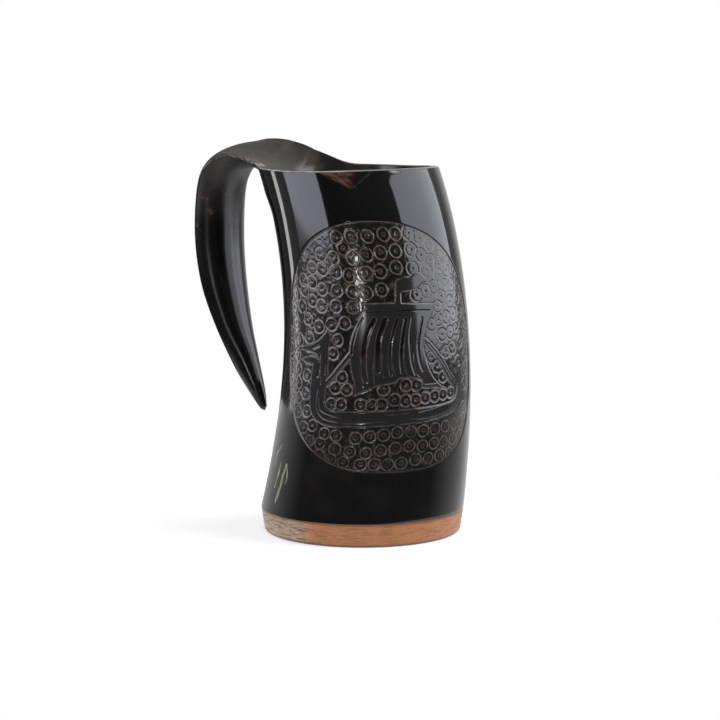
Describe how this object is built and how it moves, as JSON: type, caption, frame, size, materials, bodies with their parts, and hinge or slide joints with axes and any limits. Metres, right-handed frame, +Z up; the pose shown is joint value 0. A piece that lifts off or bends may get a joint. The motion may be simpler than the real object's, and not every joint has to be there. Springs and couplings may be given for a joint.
{
  "type": "horn drinking cup",
  "caption": "Drinking tankard cut from one bowed horn, its rim drawn out and bent over into a tapering solid handle, on a turned wooden base, sealed inside.",
  "frame": {"origin": "centre of the flat underside of the wooden base", "axes": "+Z up through the cup, the handle points along -X, and +X is away from the handle; the handle lies across the XZ plane"},
  "size_m": [0.1314, 0.0858, 0.1634],
  "materials": {
    "horn": "polished black horn, olive-brown where it is thin, rough brown at the cut edge, with a carved panel on the front",
    "wood": "oiled striped brown wood, satin",
    "resin": "poured amber-brown resin, glossy"
  },
  "bodies": {
    "root": {"horn_body": "horn", "wood_base": "wood", "resin_seal": "resin"}
  },
  "joints": []
}
